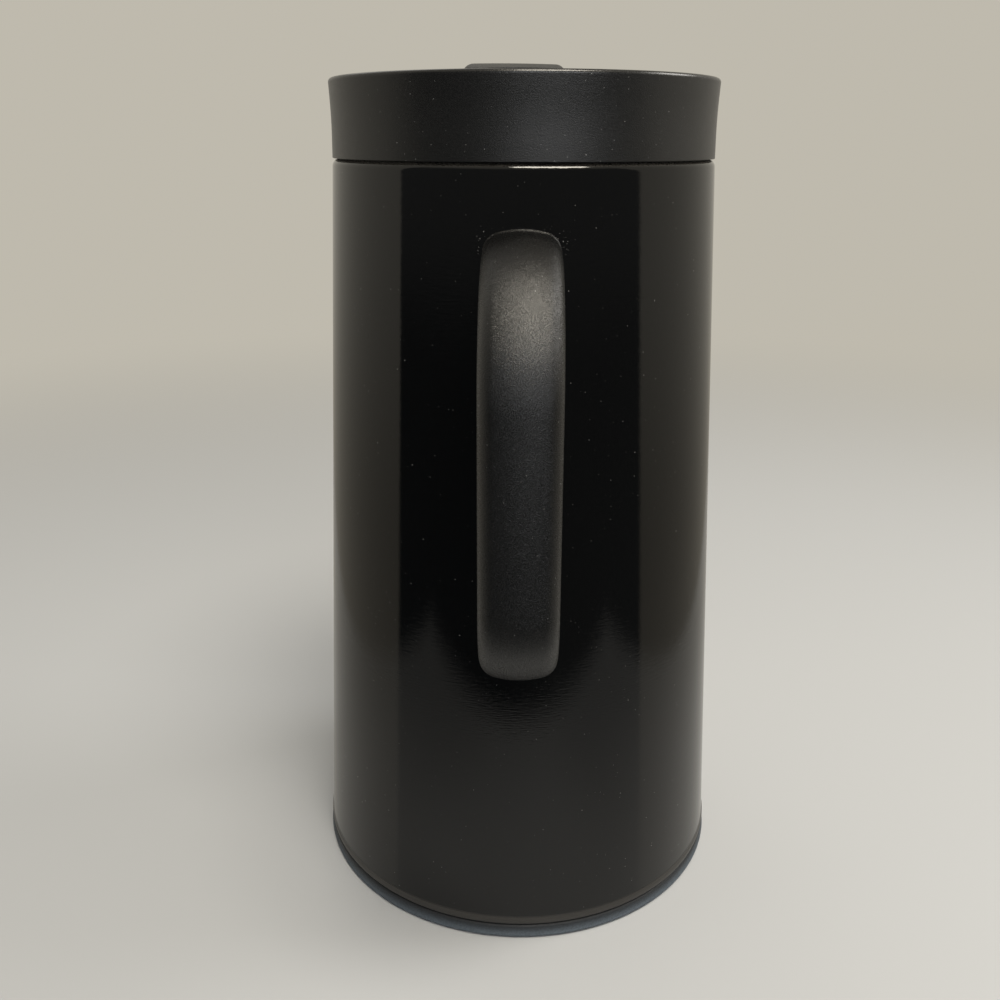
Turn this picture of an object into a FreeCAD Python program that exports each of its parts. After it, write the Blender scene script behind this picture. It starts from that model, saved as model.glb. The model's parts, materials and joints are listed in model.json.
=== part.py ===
import FreeCAD
import Part
import math
import os

Vec = FreeCAD.Vector

# Lengths are in millimetres. The table is z = 0, the pitcher's axis is Z, the handle is at -Y and
# the spout is at +Y.

# Outer shell
foot_height = 3.0
shoulder_height = 230.7
base_radius = 68.5
shoulder_radius = 56.4
shell_wall = 0.6
base_edge_radius = 3.0
shoulder_edge_radius = 1.6
shoulder_ring_width = 2.6
shoulder_ring_height = 0.4
base_flange_width = 7.5

# Fits
weld_gap = 0.05
part_gap = 0.1
seat_gap = 0.2
moving_gap = 0.3
running_gap = 0.05

# Inner liner
vacuum_gap = 6.0
liner_wall = 0.6
liner_floor_lift = 8.0
liner_floor_radius = 14.0
liner_shoulder_drop = 12.0
liner_shoulder_rise = 6.0
liner_shoulder_radius = 9.0

# Neck and thread
neck_height = 8.5
neck_wall = 0.8
neck_gap = 1.0
neck_flange_width = 4.0
neck_flange_thickness = 0.8
thread_lead = 9.0
thread_start_count = 2
thread_height = 1.4
thread_root_width = 2.0
thread_crest_width = 1.2
thread_bury = 0.3
thread_tip_gap = 0.5
thread_low_margin = 2.2
thread_top_margin = 1.5

# Base
base_plate_thickness = 0.8
base_plate_lap = 4.0
dimple_radius = 9.0
dimple_height = 1.6
port_radius = 1.5
braze_radius = 4.0
braze_thickness = 1.0
getter_radius = 6.0
getter_thickness = 2.4
getter_rim_width = 1.2
getter_dish_depth = 0.6
getter_offset = 28.0
pad_edge_radius = 0.8
boot_lift = 0.4
boot_height = 6.2
boot_proud = 0.4
boot_flare = 0.5
boot_edge_radius = 0.9
pad_groove_count = 3
pad_groove_width = 2.0
pad_groove_depth = 0.8
pad_centre_share = 0.35

# Handle
handle_top_drop = 16.1
handle_height = 107.2
handle_width = 19.6
handle_thickness = 13.0
handle_edge_radius = 6.0
handle_face_edge = 3.6
handle_crown_width = 7.0
handle_crown_lift = 0.4
handle_crown_drop = 1.2
handle_crown_curve = 8.0
handle_reach = 39.5
handle_lean_degrees = 4.0
handle_upper_bend = 31.0
handle_lower_bend = 16.0
strap_width = 11.0
strap_thickness = 2.0
weld_plate_width = 12.0
weld_plate_height = 8.0
weld_plate_thickness = 1.2
screw_radius = 1.5
screw_length = 7.5
screw_head_radius = 2.6
screw_head_height = 2.0
screw_slot_radius = 1.2
screw_slot_depth = 1.1
plug_thickness = 1.2
screw_place_share = 0.45

# Lid
lid_turned_degrees = 8.0
seam_gap = 0.6
lid_height = 21.1
lid_foot_inset = 0.1
lid_waist_inset = 0.35
lid_rim_flare = 0.1
lid_waist_share = 0.5
lid_waist_curve = 150.0
lid_wall = 2.15
lid_foot_edge = 0.4
lid_rim_edge = 0.9
lid_rim_width = 2.9
deck_drop = 2.5
deck_thickness = 2.0
deck_edge_radius = 1.0
skirt_wall = 1.7
skirt_lift = 0.4
gasket_width = 2.6
gasket_thickness = 1.8
gasket_edge_radius = 0.4
core_plug_depth = 1.6
core_wall = 1.8
core_edge_radius = 0.8
channel_wall = 1.6

# Pour spout and vent
spout_width = 17.0
spout_length = 11.0
spout_corner_radius = 4.0
spout_place = 35.0
vent_radius = 2.0
vent_place = 16.0
notch_gap = 0.7
pour_lip_edge = 1.2

# Flip cap
hinge_place = 1.0
barrel_radius = 2.6
pin_radius = 1.25
pin_end_inset = 1.2
tower_width = 11.0
cap_hinge_width = 26.0
cap_width = 34.4
cap_nose_width = 24.6
cap_flare_start = 6.0
cap_flare_end = 19.0
cap_taper_start = 26.0
cap_taper_end = 44.0
cap_side_curve = 14.0
cap_nose_overhang = 1.5
cap_crown_place = 21.0
cap_crown_height = 5.7
cap_nose_height = 2.4
cap_wall = 1.8
cap_edge_radius = 2.4
cap_base_thickness = 1.6
seal_flange_width = 1.5
seal_flange_depth = 1.0
seal_plug_gap = 0.5
seal_plug_taper = 0.6
spout_plug_depth = 2.4
vent_plug_depth = 1.2

# Heights that follow from the sizes above
shell_height = shoulder_height - foot_height
lip_height = shoulder_height + neck_height
plate_low = foot_height + shell_wall
plate_high = plate_low + base_plate_thickness
liner_low = plate_high + liner_floor_lift
thread_low = shoulder_height + thread_low_margin
thread_high = lip_height - thread_top_margin
lid_low = shoulder_height + seam_gap
rim_height = lid_low + lid_height
deck_high = rim_height - deck_drop
deck_low = deck_high - deck_thickness
gasket_high = lip_height + gasket_thickness
core_low = lip_height - core_plug_depth
core_high = core_low + core_wall
core_ring_high = gasket_high + core_wall
cap_low = deck_high + moving_gap
cap_base_high = cap_low + cap_base_thickness
hinge_z = cap_low + barrel_radius
cap_top = rim_height + cap_crown_height
handle_top = shoulder_height - handle_top_drop
upper_arm_z = handle_top - handle_thickness / 2
lower_arm_z = upper_arm_z - handle_height + handle_thickness

# Radii that follow, from the lid's outside in to the mouth
flange_radius = base_radius - base_flange_width
lid_foot_radius = shoulder_radius - lid_foot_inset
lid_waist_radius = shoulder_radius - lid_waist_inset
lid_rim_radius = shoulder_radius + lid_rim_flare
rim_bore_radius = lid_rim_radius - lid_rim_width
nose_radius = lid_rim_radius + cap_nose_overhang
cover_bore_radius = lid_waist_radius - lid_wall
skirt_radius = cover_bore_radius - part_gap
skirt_bore_radius = skirt_radius - skirt_wall
crest_radius = skirt_bore_radius - thread_tip_gap
neck_radius = crest_radius - thread_height
seat_radius = neck_radius + weld_gap
neck_bore_radius = neck_radius - neck_wall
liner_neck_radius = neck_bore_radius - neck_gap
mouth_radius = liner_neck_radius - liner_wall
gasket_radius = mouth_radius + gasket_width
core_plug_radius = mouth_radius - moving_gap - moving_gap
core_rim_radius = skirt_bore_radius - part_gap
notch_width = cap_nose_width + notch_gap + notch_gap
cap_room_start = hinge_place + barrel_radius + cap_wall


def wall_radius(z):
    # Outer shell's radius at a height: a straight cone
    return base_radius + (shoulder_radius - base_radius) * (z - foot_height) / shell_height


def liner_radius(z):
    return wall_radius(z) - shell_wall - vacuum_gap


def in_section(point):
    return Vec(point[0], 0, point[1])


def in_plan(point):
    return Vec(point[0], point[1], 0)


def in_side(point):
    return Vec(0, point[0], point[1])


def rounded_edges(corners, place, closed):
    # Lines through the corners (first, second, radius), with an arc at each corner that has a radius
    points = [place(corner) for corner in corners]
    total = len(points)
    ends = []
    for index in range(total):
        here = points[index]
        radius = corners[index][2]
        if radius == 0 or (not closed and index in (0, total - 1)):
            ends.append((here, here, here))
            continue
        back = (points[index - 1] - here).normalize()
        ahead = (points[(index + 1) % total] - here).normalize()
        half_angle = back.getAngle(ahead) / 2
        reach = radius / math.tan(half_angle)
        bisector = (back + ahead).normalize()
        centre = here + bisector * (radius / math.sin(half_angle))
        ends.append((here + back * reach, centre - bisector * radius, here + ahead * reach))
    edges = []
    for index in range(total):
        start, middle, finish = ends[index]
        if start != finish:
            edges.append(Part.Arc(start, middle, finish).toShape())
        if closed or index < total - 1:
            following = ends[(index + 1) % total][0]
            edges.append(Part.LineSegment(finish, following).toShape())
    return edges


def rounded_wire(corners, place, closed=True):
    return Part.Wire(rounded_edges(corners, place, closed))


def turned(corners):
    # Solid of revolution about Z from a section of (radius, height, corner radius)
    face = Part.Face(rounded_wire(corners, in_section))
    return face.revolve(Vec(0, 0, 0), Vec(0, 0, 1), 360)


def ring(inner_radius, outer_radius, low, high):
    corners = [(inner_radius, low, 0), (outer_radius, low, 0), (outer_radius, high, 0), (inner_radius, high, 0)]
    return turned(corners)


def disc(radius, low, high, x=0, y=0):
    return Part.makeCylinder(radius, high - low, Vec(x, y, low))


def block(width, y_low, y_high, low, high):
    # Box centred on x = 0
    return Part.makeBox(width, y_high - y_low, high - low, Vec(-width / 2, y_low, low))


def slab(corners, low, high):
    # Plan outline of (x, y, corner radius), pulled up from low to high
    face = Part.Face(rounded_wire(corners, in_plan))
    face.translate(Vec(0, 0, low))
    return face.extrude(Vec(0, 0, high - low))


def wall_body(gap):
    # Everything inside the outer wall's surface grown by the gap
    low = wall_radius(0) + gap
    high = wall_radius(shoulder_height) + gap
    return turned([(0, 0, 0), (low, 0, 0), (high, shoulder_height, 0), (0, shoulder_height, 0)])


def thread(root_radius, tip_radius, first_degrees):
    # Helical ridges, one per start, from a root buried in the wall to a narrower tip
    outward = 1 if tip_radius > root_radius else -1
    buried = root_radius - outward * thread_bury
    root = thread_root_width / 2
    tip = thread_crest_width / 2
    climb = thread_high - thread_low
    helix = Part.makeHelix(thread_lead, climb, root_radius)
    section = [Vec(buried, 0, -root), Vec(tip_radius, 0, -tip), Vec(tip_radius, 0, tip), Vec(buried, 0, root)]
    profile = Part.makePolygon(section + section[:1])
    ridge = Part.Wire(helix.Edges).makePipeShell([profile], True, True)
    if ridge.Volume < 0:
        ridge.reverse()
    ridges = []
    for start in range(thread_start_count):
        copy = ridge.copy()
        copy.rotate(Vec(0, 0, 0), Vec(0, 0, 1), first_degrees + start * 360 / thread_start_count)
        copy.translate(Vec(0, 0, thread_low))
        ridges.append(copy)
    return ridges


# Vessel

def make_outer_shell():
    low_radius = wall_radius(foot_height)
    high_radius = wall_radius(shoulder_height)
    inner_high = shoulder_height - shell_wall
    corners = [
        (flange_radius, foot_height, 0),
        (low_radius, foot_height, base_edge_radius),
        (high_radius, shoulder_height, shoulder_edge_radius),
        (seat_radius, shoulder_height, 0),
        (seat_radius, inner_high, 0),
        (high_radius - shell_wall, inner_high, shoulder_edge_radius - shell_wall),
        (low_radius - shell_wall, plate_low, base_edge_radius - shell_wall),
        (flange_radius, plate_low, 0),
    ]
    return turned(corners)


def make_threaded_neck():
    flange_high = shoulder_height - shell_wall
    flange_low = flange_high - neck_flange_thickness
    tube_high = lip_height - liner_wall
    corners = [
        (neck_bore_radius, flange_low, 0),
        (neck_radius + neck_flange_width, flange_low, 0),
        (neck_radius + neck_flange_width, flange_high, 0),
        (neck_radius, flange_high, 0),
        (neck_radius, tube_high, 0),
        (neck_bore_radius, tube_high, 0),
    ]
    return turned(corners).fuse(thread(neck_radius, crest_radius, 0))


def make_shoulder_ring():
    # Soft ring on the shoulder that closes the seam under the lid
    outer = shoulder_radius - shoulder_edge_radius
    return ring(outer - shoulder_ring_width, outer, shoulder_height, shoulder_height + shoulder_ring_height)


def make_inner_liner():
    bend_low = shoulder_height - liner_shoulder_drop
    bend_high = bend_low + liner_shoulder_rise
    floor_high = liner_low + liner_wall
    lip_low = lip_height - liner_wall
    corners = [
        (0, liner_low, 0),
        (liner_radius(liner_low), liner_low, liner_floor_radius + liner_wall),
        (liner_radius(bend_low), bend_low, liner_shoulder_radius),
        (liner_neck_radius, bend_high, liner_shoulder_radius),
        (liner_neck_radius, lip_low, 0),
        (neck_radius, lip_low, 0),
        (neck_radius, lip_height, 0),
        (mouth_radius, lip_height, liner_wall / 2),
        (mouth_radius, bend_high, liner_shoulder_radius + liner_wall),
        (liner_radius(bend_low) - liner_wall, bend_low, liner_shoulder_radius - liner_wall),
        (liner_radius(liner_low) - liner_wall, floor_high, liner_floor_radius),
        (0, floor_high, 0),
    ]
    return turned(corners)


def make_base_plate():
    radius = flange_radius + base_plate_lap
    corners = [
        (port_radius, plate_low + dimple_height, 0),
        (dimple_radius, plate_low + dimple_height, 0),
        (dimple_radius + dimple_height, plate_low, 0),
        (radius, plate_low, 0),
        (radius, plate_high, 0),
        (dimple_radius + dimple_height, plate_high, 0),
        (dimple_radius, plate_high + dimple_height, 0),
        (port_radius, plate_high + dimple_height, 0),
    ]
    return turned(corners)


def make_evacuation_seal():
    high = plate_low + dimple_height
    return disc(braze_radius, high - braze_thickness, high)


def make_getter_capsule():
    capsule = disc(getter_radius, plate_high, plate_high + getter_thickness, getter_offset)
    dish_low = plate_high + getter_thickness - getter_dish_depth
    dish_radius = getter_radius - getter_rim_width
    return capsule.cut(disc(dish_radius, dish_low, plate_high + getter_thickness, getter_offset))


def make_base_pad():
    radius = flange_radius - moving_gap
    corners = [(0, 0, 0), (radius, 0, pad_edge_radius), (radius, plate_low, 0), (0, plate_low, 0)]
    pad = turned(corners)
    first = radius * pad_centre_share
    pitch = (radius - first) / pad_groove_count
    for groove in range(pad_groove_count):
        inner_radius = first + groove * pitch
        pad = pad.cut(ring(inner_radius, inner_radius + pad_groove_width, 0, pad_groove_depth))
    return pad


def make_base_boot():
    # Rubber boot that wraps the wall's bottom edge and stands a little proud of the wall
    radius = wall_radius(boot_height) + boot_proud
    inner = flange_radius + part_gap
    boot = turned([
        (inner, boot_lift, 0),
        (radius + boot_flare, boot_lift, boot_edge_radius),
        (radius, boot_height, boot_edge_radius),
        (inner, boot_height, 0),
    ])
    floor = foot_height - part_gap
    low = wall_radius(floor) + part_gap
    high = wall_radius(boot_height) + part_gap
    shell = [(0, floor, 0), (low, floor, base_edge_radius), (high, boot_height, 0), (0, boot_height, 0)]
    return boot.cut(turned(shell))


# Handle

def handle_corners():
    upper_wall = wall_radius(upper_arm_z)
    lower_wall = wall_radius(lower_arm_z)
    upper_corner = upper_wall + handle_reach
    drop = upper_arm_z - lower_arm_z
    lower_corner = upper_corner + drop * math.tan(math.radians(handle_lean_degrees))
    inset = shell_wall
    return [
        (-upper_wall + inset + handle_edge_radius, upper_arm_z, 0),
        (-upper_corner, upper_arm_z, handle_upper_bend),
        (-lower_corner, lower_arm_z, handle_lower_bend),
        (-lower_wall + inset + handle_edge_radius, lower_arm_z, 0),
    ]


def sweep(section):
    # Section of (across, outward, corner radius) carried along the handle's middle line
    corners = handle_corners()
    path = rounded_wire(corners, in_side, False)
    profile = rounded_wire(section, in_section)
    profile.translate(Vec(0, corners[0][0], corners[0][1]))
    return path.makePipeShell([profile], True, False)


def grip_section(side):
    # Half of the rounded section, hollowed for the strap; side is 1 outside and -1 inside
    x = handle_width / 2
    edge = handle_thickness / 2 * side
    split = part_gap / 2 * side
    slot_x = strap_width / 2 + part_gap
    slot = (strap_thickness / 2 + part_gap) * side
    face = [(-x, edge, handle_edge_radius), (x, edge, handle_edge_radius)]
    if side > 0:
        # The palm's side is crowned, with tighter edges
        low = edge - handle_crown_drop
        high = edge + handle_crown_lift
        crown_x = handle_crown_width / 2
        face = [
            (-x, low, handle_face_edge),
            (-crown_x, high, handle_crown_curve),
            (crown_x, high, handle_crown_curve),
            (x, low, handle_face_edge),
        ]
    hollow = [(slot_x, split, 0), (slot_x, slot, 0), (-slot_x, slot, 0), (-slot_x, split, 0)]
    return [(-x, split, 0)] + face + [(x, split, 0)] + hollow


def strap_section():
    x = strap_width / 2
    z = strap_thickness / 2
    return [(-x, -z, 0), (x, -z, 0), (x, z, 0), (-x, z, 0)]


def weld_plate(arm_z, grow):
    # Plate that hugs the wall, or with a grow value the pocket that clears it
    high = weld_plate_height / 2 + grow
    skin = wall_body(weld_gap + weld_plate_thickness + grow).cut(wall_body(weld_gap))
    room = block(weld_plate_width + grow + grow, -base_radius - handle_reach, 0, arm_z - high, arm_z + high)
    return skin.common(room)


def screw_place(arm_z):
    # Screws stand part of the way along each arm's straight run
    upper_corner, lower_corner = handle_corners()[1:3]
    if arm_z == upper_arm_z:
        corner = upper_corner
        turn = math.radians(90 - handle_lean_degrees)
    else:
        corner = lower_corner
        turn = math.radians(90 + handle_lean_degrees)
    bend_start = corner[0] + corner[2] * math.tan(turn / 2)
    wall = -wall_radius(arm_z)
    return wall + (bend_start - wall - screw_head_radius) * screw_place_share - weld_plate_thickness


def screw_heights(arm_z):
    face = arm_z - handle_thickness / 2
    head_low = face + plug_thickness
    head_high = head_low + screw_head_height
    return face, head_low, head_high, head_high + screw_length


def screw(arm_z):
    y = screw_place(arm_z)
    face, head_low, head_high, tip = screw_heights(arm_z)
    body = disc(screw_head_radius, head_low, head_high, 0, y)
    body = body.fuse(disc(screw_radius, head_low, tip, 0, y))
    return body.cut(disc(screw_slot_radius, head_low, head_low + screw_slot_depth, 0, y))


def screw_hole(arm_z):
    y = screw_place(arm_z)
    face, head_low, head_high, tip = screw_heights(arm_z)
    well = disc(screw_head_radius + part_gap, face, head_high, 0, y)
    return well.fuse(disc(screw_radius + weld_gap, face, tip + part_gap, 0, y))


def plug(arm_z):
    face, head_low, head_high, tip = screw_heights(arm_z)
    return disc(screw_head_radius, face, head_low, 0, screw_place(arm_z))


arm_heights = [upper_arm_z, lower_arm_z]


def make_grip(side):
    grip = sweep(grip_section(side)).cut(wall_body(seat_gap))
    for arm_z in arm_heights:
        grip = grip.cut(weld_plate(arm_z, part_gap))
        grip = grip.cut(screw_hole(arm_z))
    return grip


def make_strap():
    strap = sweep(strap_section()).cut(wall_body(weld_gap + weld_plate_thickness + weld_gap))
    for arm_z in arm_heights:
        strap = strap.cut(screw_hole(arm_z))
    return strap


# Lid, made with its spout straight along +Y and then turned to where it sits

def spout_outline(grow):
    x = spout_width / 2 + grow
    rear = spout_place - spout_length / 2 - grow
    front = spout_place + spout_length / 2 + grow
    radius = spout_corner_radius + grow
    return [(-x, rear, radius), (x, rear, radius), (x, front, radius), (-x, front, radius)]


def spout_hole(low, high, grow):
    return slab(spout_outline(grow), low, high)


def vent_hole(low, high, grow):
    return disc(vent_radius + grow, low, high, 0, vent_place)


def make_lid_cover():
    waist = lid_low + lid_height * lid_waist_share
    corners = [
        (cover_bore_radius, lid_low, 0),
        (lid_foot_radius, lid_low, lid_foot_edge),
        (lid_waist_radius, waist, lid_waist_curve),
        (lid_rim_radius, rim_height, lid_rim_edge),
        (rim_bore_radius, rim_height, lid_rim_edge),
        (rim_bore_radius, deck_high, deck_edge_radius),
        (0, deck_high, 0),
        (0, deck_low, 0),
        (cover_bore_radius, deck_low, 0),
    ]
    cover = turned(corners)
    cover = cover.cut(block(notch_width, spout_place, nose_radius, deck_high, rim_height))
    cover = with_pour_lip(cover)
    tower = block(tower_width, hinge_place - barrel_radius, hinge_place + barrel_radius, deck_low, hinge_z)
    cover = cover.fuse([tower, hinge_cylinder(barrel_radius, tower_width)])
    cover = cover.cut(spout_hole(deck_low, rim_height, 0))
    cover = cover.cut(vent_hole(deck_low, rim_height, 0))
    return cover.cut(hinge_cylinder(pin_radius + weld_gap, tower_width))


def with_pour_lip(cover):
    # Rounds the edge that the drink runs over, where the rim is notched
    lip = []
    for edge in cover.Edges:
        box = edge.BoundBox
        level = box.ZLength < part_gap and abs(box.ZMax - deck_high) < part_gap
        if level and box.YMin > rim_bore_radius and box.XLength > notch_width / 2:
            lip.append(edge)
    return cover.makeFillet(pour_lip_edge, lip)


def hinge_cylinder(radius, width):
    return Part.makeCylinder(radius, width, Vec(-width / 2, hinge_place, hinge_z), Vec(1, 0, 0))


def make_thread_ring():
    tube = ring(skirt_bore_radius, skirt_radius, lid_low + skirt_lift, deck_low)
    # Half a thread pitch round from the neck's ridges, whichever way the lid is turned
    first = 180 / thread_start_count - lid_turned_degrees
    return tube.fuse(thread(skirt_bore_radius, neck_radius + thread_tip_gap, first))


def make_lid_core():
    # A pan with a raised rim: the pan plugs the mouth and the rim holds the gasket down
    pan_bore = core_plug_radius - core_wall
    corners = [
        (0, core_low, 0),
        (core_plug_radius, core_low, core_edge_radius),
        (core_plug_radius, gasket_high, 0),
        (core_rim_radius, gasket_high, 0),
        (core_rim_radius, core_ring_high, 0),
        (pan_bore, core_ring_high, 0),
        (pan_bore, core_high, 0),
        (0, core_high, 0),
    ]
    core = turned(corners)
    core = core.cut(spout_hole(core_low, core_high, 0))
    return core.cut(vent_hole(core_low, core_high, 0))


def make_pour_tube():
    return spout_hole(core_high, deck_low, channel_wall).cut(spout_hole(core_high, deck_low, 0))


def make_vent_tube():
    return vent_hole(core_high, deck_low, channel_wall).cut(vent_hole(core_high, deck_low, 0))


def make_lid_insulation():
    low = core_high + part_gap
    step = core_ring_high + part_gap
    high = deck_low - part_gap
    inner = core_plug_radius - core_wall - part_gap
    outer = core_rim_radius
    corners = [(0, low, 0), (inner, low, 0), (inner, step, 0), (outer, step, 0), (outer, high, 0), (0, high, 0)]
    foam = turned(corners)
    foam = foam.cut(spout_hole(low, high, channel_wall + part_gap))
    return foam.cut(vent_hole(low, high, channel_wall + part_gap))


def make_lid_gasket():
    corners = [
        (mouth_radius, lip_height, gasket_edge_radius),
        (gasket_radius, lip_height, gasket_edge_radius),
        (gasket_radius, gasket_high, 0),
        (mouth_radius, gasket_high, 0),
    ]
    return turned(corners)


# Flip cap

def cap_outline(inset):
    # Seen from above: widens from the hinge to the crown, then tapers to the nose
    hinge = cap_hinge_width / 2 - inset
    wide = cap_width / 2 - inset
    narrow = cap_nose_width / 2 - inset
    rear = hinge_place - barrel_radius - barrel_radius
    front = nose_radius + cap_nose_overhang
    half = [
        (hinge, rear, 0),
        (hinge, cap_flare_start, cap_side_curve),
        (wide, cap_flare_end, cap_side_curve),
        (wide, cap_taper_start, cap_side_curve),
        (narrow, cap_taper_end, cap_side_curve),
        (narrow, front, 0),
    ]
    return half + [(-x, y, radius) for x, y, radius in reversed(half)]


def cap_side(inset):
    # Side view pulled across: a flat underside, a nose, a crowned back and a round barrel
    front = nose_radius + cap_nose_overhang
    under_barrel = in_side((hinge_place, cap_low))
    over_barrel = in_side((hinge_place, hinge_z + barrel_radius - inset))
    behind_barrel = in_side((hinge_place - barrel_radius, hinge_z))
    crown = in_side((cap_crown_place, cap_top - inset))
    nose = in_side((front, rim_height + cap_nose_height - inset))
    under_nose = in_side((front, cap_low))
    edges = [
        Part.LineSegment(under_barrel, under_nose).toShape(),
        Part.LineSegment(under_nose, nose).toShape(),
        Part.Arc(nose, crown, over_barrel).toShape(),
        Part.Arc(over_barrel, behind_barrel, under_barrel).toShape(),
    ]
    face = Part.Face(Part.Wire(edges))
    face.translate(Vec(-cap_width / 2, 0, 0))
    return face.extrude(Vec(cap_width, 0, 0))


def cap_body(inset):
    high = cap_top + barrel_radius
    body = cap_side(inset).common(slab(cap_outline(inset), cap_low, high))
    return body.common(disc(nose_radius - inset, cap_low, high))


def rounded_back(body):
    # Rounds the long top edges and the nose's top edge
    back = max(body.Faces, key=lambda face: face.BoundBox.ZMax * face.Area)
    barrel_line = hinge_place + barrel_radius
    edges = [edge for edge in back.Edges if edge.BoundBox.YMax > barrel_line]
    return body.makeFillet(cap_edge_radius, edges)


def cap_room(gap):
    # The hollow under the cap, shrunk by the gap
    start = cap_room_start + gap
    room = block(cap_width, start, nose_radius, cap_low, cap_top)
    return cap_body(cap_wall + gap).common(room)


def make_flip_cap():
    cap = rounded_back(cap_body(0))
    cap = cap.cut(cap_room(0))
    slot_width = tower_width + moving_gap + moving_gap
    slot_end = hinge_place + barrel_radius + moving_gap
    cap = cap.cut(block(slot_width, hinge_place - barrel_radius - barrel_radius, slot_end, cap_low, cap_top))
    return cap.cut(hinge_cylinder(pin_radius + running_gap, cap_width))


def make_flip_cap_base():
    base = cap_room(part_gap).common(block(cap_width, 0, nose_radius, cap_low, cap_base_high))
    pocket_high = cap_low + seal_flange_depth
    pocket_grow = seal_flange_width + part_gap
    base = base.cut(spout_hole(cap_low, pocket_high, pocket_grow))
    return base.cut(vent_hole(cap_low, pocket_high, pocket_grow))


def make_spout_seal():
    flange = spout_hole(deck_high, cap_low + seal_flange_depth, seal_flange_width)
    top = -seal_plug_gap
    bottom = top - seal_plug_taper
    outlines = []
    for grow, height in ((bottom, deck_high - spout_plug_depth), (top, deck_high)):
        outline = rounded_wire(spout_outline(grow), in_plan)
        outline.translate(Vec(0, 0, height))
        outlines.append(outline)
    return flange.fuse(Part.makeLoft(outlines, True))


def make_vent_seal():
    flange = vent_hole(deck_high, cap_low + seal_flange_depth, seal_flange_width)
    top = vent_radius - seal_plug_gap
    bottom = top - seal_plug_taper
    plug_low = Vec(0, vent_place, deck_high - vent_plug_depth)
    return flange.fuse(Part.makeCone(bottom, top, vent_plug_depth, plug_low))


def make_hinge_pin():
    return hinge_cylinder(pin_radius, cap_hinge_width - pin_end_inset - pin_end_inset)


vessel_shapes = {
    "outer_shell": make_outer_shell(),
    "threaded_neck": make_threaded_neck(),
    "shoulder_ring": make_shoulder_ring(),
    "inner_liner": make_inner_liner(),
    "base_plate": make_base_plate(),
    "evacuation_seal": make_evacuation_seal(),
    "getter_capsule": make_getter_capsule(),
    "base_pad": make_base_pad(),
    "base_boot": make_base_boot(),
    "upper_weld_plate": weld_plate(upper_arm_z, 0),
    "lower_weld_plate": weld_plate(lower_arm_z, 0),
    "handle_strap": make_strap(),
    "handle_outer_grip": make_grip(1),
    "handle_inner_grip": make_grip(-1),
    "upper_handle_screw": screw(upper_arm_z),
    "lower_handle_screw": screw(lower_arm_z),
    "upper_screw_plug": plug(upper_arm_z),
    "lower_screw_plug": plug(lower_arm_z),
}
lid_shapes = {
    "lid_cover": make_lid_cover(),
    "thread_ring": make_thread_ring(),
    "lid_core": make_lid_core(),
    "pour_tube": make_pour_tube(),
    "vent_tube": make_vent_tube(),
    "lid_insulation": make_lid_insulation(),
    "lid_gasket": make_lid_gasket(),
    "hinge_pin": make_hinge_pin(),
    "flip_cap": make_flip_cap(),
    "flip_cap_base": make_flip_cap_base(),
    "spout_seal": make_spout_seal(),
    "vent_seal": make_vent_seal(),
}
for shape in lid_shapes.values():
    shape.rotate(Vec(0, 0, 0), Vec(0, 0, 1), lid_turned_degrees)

os.makedirs("parts", exist_ok=True)
for name, shape in {**vessel_shapes, **lid_shapes}.items():
    print(name, "valid", shape.isValid(), "solids", len(shape.Solids), "volume", round(shape.Volume))
    shape.exportStep("parts/" + name + ".step")
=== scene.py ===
import json
import math

import bmesh
import bpy
import numpy as np
from mathutils import Matrix, Vector


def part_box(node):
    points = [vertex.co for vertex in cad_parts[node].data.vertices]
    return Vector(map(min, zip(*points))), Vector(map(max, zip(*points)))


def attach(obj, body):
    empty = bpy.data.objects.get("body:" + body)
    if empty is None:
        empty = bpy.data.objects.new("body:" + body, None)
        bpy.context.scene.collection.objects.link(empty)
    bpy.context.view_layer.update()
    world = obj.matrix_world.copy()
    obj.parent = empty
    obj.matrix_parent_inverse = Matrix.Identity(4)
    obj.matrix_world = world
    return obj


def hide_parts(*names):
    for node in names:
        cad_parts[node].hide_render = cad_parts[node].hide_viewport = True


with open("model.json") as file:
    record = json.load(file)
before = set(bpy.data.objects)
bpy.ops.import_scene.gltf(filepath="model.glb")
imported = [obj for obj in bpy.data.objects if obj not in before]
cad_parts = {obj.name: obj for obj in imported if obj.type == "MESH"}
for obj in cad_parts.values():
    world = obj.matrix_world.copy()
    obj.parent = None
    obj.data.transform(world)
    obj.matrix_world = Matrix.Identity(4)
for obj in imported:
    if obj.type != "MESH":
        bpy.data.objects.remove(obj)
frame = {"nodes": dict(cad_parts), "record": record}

scene = bpy.context.scene
nodes = frame["nodes"]
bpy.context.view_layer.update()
print("frame loaded:", len(nodes), "nodes")


def put(tree, kind, inputs=None, **settings):
    # adds one node, sets its settings, then fills its inputs with values or links
    node = tree.nodes.new(kind)
    for name, value in settings.items():
        setattr(node, name, value)
    for name, value in (inputs or {}).items():
        socket = node.inputs[name]
        if isinstance(value, bpy.types.NodeSocket):
            tree.links.new(value, socket)
        else:
            socket.default_value = value
    return node


def maths(tree, operation, first, second=0.0, third=0.0):
    # one operation on up to three values or links
    return put(tree, "ShaderNodeMath", {0: first, 1: second, 2: third}, operation=operation).outputs[0]


def remap(tree, value, low, high, toLow=0.0, toHigh=1.0):
    # eases from toLow to toHigh as the value goes from low to high
    inputs = {"Value": value, "From Min": low, "From Max": high, "To Min": toLow, "To Max": toHigh}
    return put(tree, "ShaderNodeMapRange", inputs, interpolation_type="SMOOTHSTEP").outputs[0]


def blendColour(tree, amount, first, second):
    # the first colour where the amount is 0, the second where it is 1; 6, 7 and 2 are the colour sockets
    return put(tree, "ShaderNodeMix", {0: amount, 6: first, 7: second}, data_type="RGBA").outputs[2]


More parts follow.
